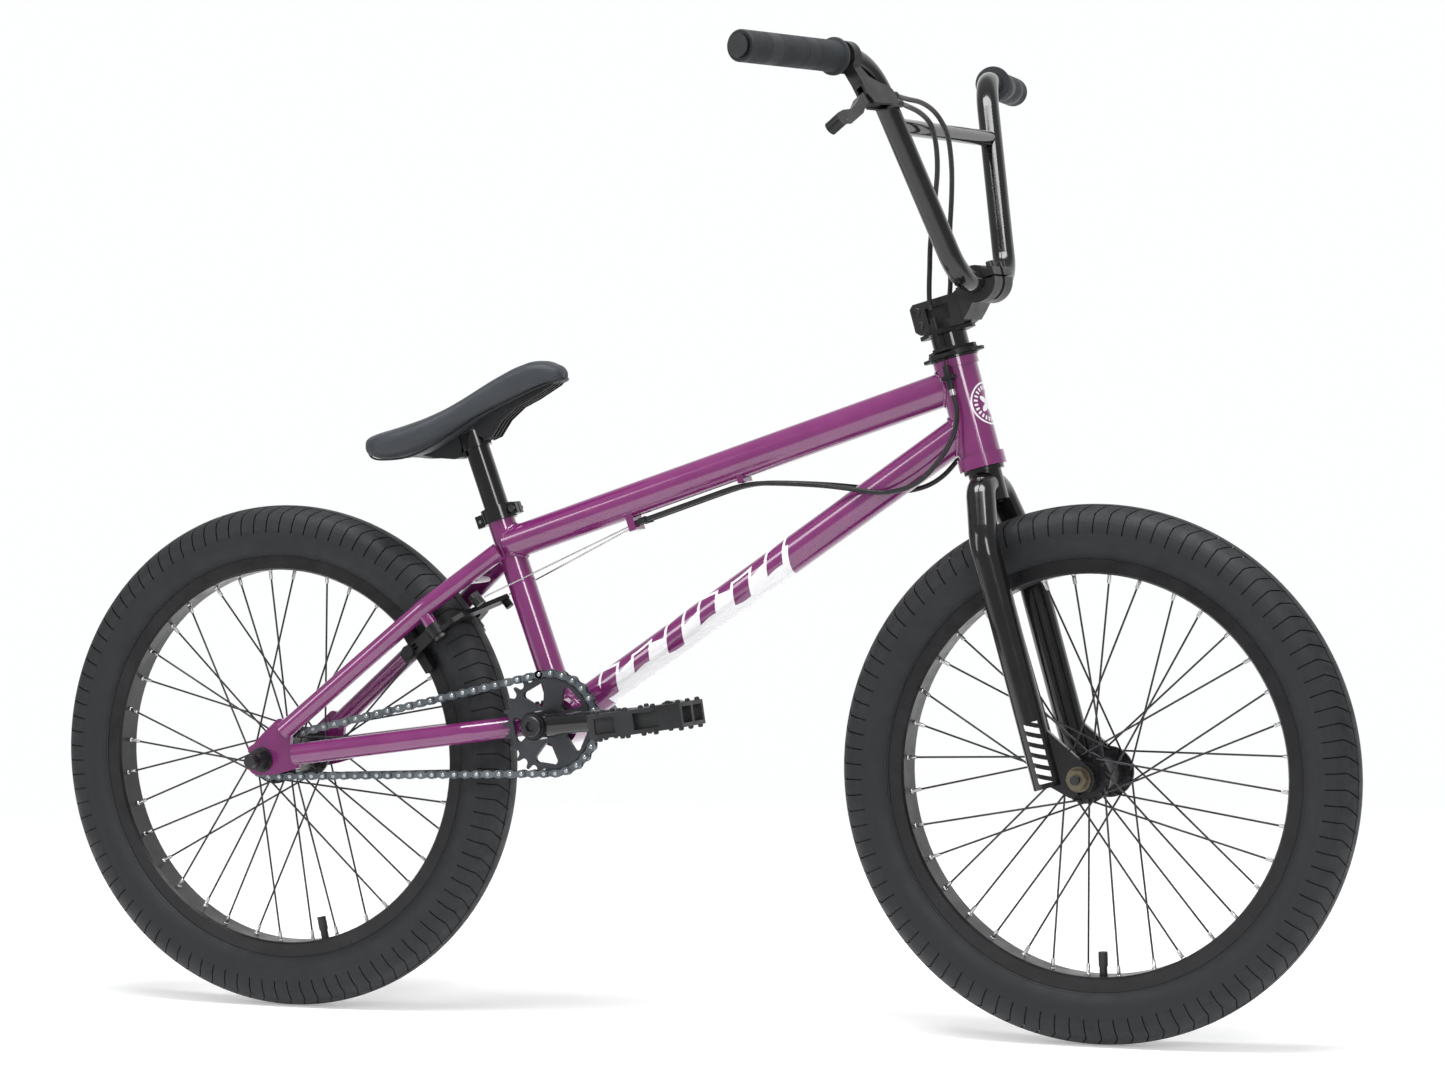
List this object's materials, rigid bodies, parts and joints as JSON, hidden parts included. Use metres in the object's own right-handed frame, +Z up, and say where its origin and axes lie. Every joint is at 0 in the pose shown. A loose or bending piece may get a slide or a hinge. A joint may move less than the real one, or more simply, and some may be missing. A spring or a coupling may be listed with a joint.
{
  "type": "bmx bike",
  "caption": "Small-wheeled freestyle bike with a steel tube frame, knobbly wide tyres, high bars with a crossbar, a single-speed chain and a rear brake whose cables let the bars spin freely.",
  "frame": {"origin": "on the ground, midway between the two wheel axles and in the middle of the bike", "axes": "+X forward, +Y to the rider's left, +Z up; the chain is on the right, at negative Y"},
  "size_m": [1.4134, 0.7462, 0.9657],
  "materials": {
    "frame_paint": "gloss",
    "gloss_black": "gloss",
    "dark_spokes": "satin",
    "satin_grey": "satin",
    "bright_steel": "satin",
    "chain_steel": "satin",
    "zinc": "satin",
    "tyre_rubber": "matte",
    "tube_rubber": "matte",
    "grip_rubber": "matte",
    "cable_black": "gloss",
    "black_plastic": "matte",
    "seat_cover": "matte"
  },
  "bodies": {
    "frame": {"head_tube": "frame_paint", "top_tube": "frame_paint", "down_tube": "frame_paint", "seat_tube": "frame_paint", "bottom_bracket_shell": "frame_paint", "seat_stays": "frame_paint", "chain_stays": "frame_paint", "rear_dropouts": "frame_paint", "frame_fittings": "frame_paint", "headset_bearings": "bright_steel", "bottom_bracket_bearings": "bright_steel", "seat_clamp": "gloss_black", "seat_post": "gloss_black", "seat_base": "black_plastic", "seat_padding": "seat_cover", "frame_bolts": "bright_steel", "rear_axle": "bright_steel", "rear_axle_nuts": "bright_steel", "chain": "chain_steel", "lower_cable_housings": "cable_black", "brake_wires": "bright_steel", "lower_cable_tabs": "gloss_black"},
    "fork": {"fork_steerer": "gloss_black", "fork_legs": "gloss_black", "headset_cover": "gloss_black", "stem": "gloss_black", "stem_cap": "gloss_black", "stem_bolts": "bright_steel", "handlebar": "gloss_black", "handlebar_crossbar": "gloss_black", "grips": "grip_rubber", "bar_end_plugs": "black_plastic", "brake_lever_perch": "gloss_black", "upper_cable_plate": "gloss_black", "upper_cable_housings": "cable_black", "front_axle": "bright_steel", "front_axle_nuts": "zinc"},
    "lever": {"brake_lever": "gloss_black"},
    "gyro_lower": {"gyro_lower_ring": "gloss_black"},
    "gyro_upper": {"gyro_upper_ring": "gloss_black"},
    "front_wheel": {"front_hub": "gloss_black", "front_spokes": "dark_spokes", "front_rim": "gloss_black", "front_tyre": "tyre_rubber", "front_inner_tube": "tube_rubber"},
    "rear_wheel": {"rear_hub": "gloss_black", "rear_spokes": "dark_spokes", "rear_rim": "gloss_black", "rear_tyre": "tyre_rubber", "rear_inner_tube": "tube_rubber"},
    "driver": {"driver_cog": "bright_steel"},
    "crank": {"crank_spindle": "bright_steel", "right_crank_arm": "gloss_black", "left_crank_arm": "gloss_black", "sprocket": "satin_grey", "crank_bolts": "bright_steel"},
    "right_pedal": {"right_pedal": "black_plastic"},
    "left_pedal": {"left_pedal": "black_plastic"},
    "right_arm": {"right_brake_arm": "gloss_black"},
    "left_arm": {"left_brake_arm": "gloss_black"}
  },
  "joints": [
    {"name": "steer", "type": "hinge", "parent": "frame", "child": "fork", "pos_m": [0.31677, 0, 0.61213], "axis": [-0.2588, 0, 0.9659], "continuous": true},
    {"name": "front_wheel_spin", "type": "hinge", "parent": "fork", "child": "front_wheel", "pos_m": [0.4448, 0, 0.262], "axis": [0, 1, 0], "continuous": true},
    {"name": "rear_wheel_spin", "type": "hinge", "parent": "frame", "child": "rear_wheel", "pos_m": [-0.4448, 0, 0.262], "axis": [0, 1, 0], "continuous": true},
    {"name": "crank_spin", "type": "hinge", "parent": "frame", "child": "crank", "pos_m": [-0.119, 0, 0.3046], "axis": [0, 1, 0], "continuous": true, "deforming": ["chain"]},
    {"name": "driver_spin", "type": "hinge", "parent": "frame", "child": "driver", "pos_m": [-0.4448, -0.0434, 0.262], "axis": [0, 1, 0], "continuous": true},
    {"name": "right_pedal_spin", "type": "hinge", "parent": "crank", "child": "right_pedal", "pos_m": [0.03036, -0.146, 0.31846], "axis": [0, 1, 0], "continuous": true},
    {"name": "left_pedal_spin", "type": "hinge", "parent": "crank", "child": "left_pedal", "pos_m": [-0.26836, 0.146, 0.29074], "axis": [0, 1, 0], "continuous": true},
    {"name": "lever_pull", "type": "hinge", "parent": "fork", "child": "lever", "pos_m": [0.29668, -0.20187, 0.90898], "axis": [-0.808, 0.1641, -0.5658], "range_deg": [0, 18], "stiffness_Nm_per_rad": 0.6, "springref_deg": -5.73},
    {"name": "gyro_lift", "type": "slide", "parent": "frame", "child": "gyro_lower", "axis": [-0.2588, 0, 0.9659], "range_m": [0, 0.004]},
    {"name": "gyro_turn", "type": "hinge", "parent": "gyro_lower", "child": "gyro_upper", "pos_m": [0.30046, 0, 0.67298], "axis": [-0.2588, 0, 0.9659], "continuous": true},
    {"name": "right_arm_close", "type": "hinge", "parent": "frame", "child": "right_arm", "pos_m": [-0.24885, -0.043, 0.39722], "axis": [0.6259, 0, -0.7799], "range_deg": [0, 3.2], "deforming": ["brake_wires"]},
    {"name": "left_arm_close", "type": "hinge", "parent": "frame", "child": "left_arm", "pos_m": [-0.24885, 0.043, 0.39722], "axis": [-0.6259, 0, 0.7799], "range_deg": [0, 3.2], "deforming": ["brake_wires"]}
  ],
  "couplings": [
    {"joint": "driver_spin", "follows": "crank_spin", "ratio": 2.7778},
    {"joint": "gyro_turn", "follows": "steer", "ratio": 1},
    {"joint": "gyro_lift", "follows": "lever_pull", "m_per_rad": 0.012701},
    {"joint": "right_arm_close", "follows": "lever_pull", "ratio": 0.17722},
    {"joint": "left_arm_close", "follows": "lever_pull", "ratio": 0.17722}
  ]
}
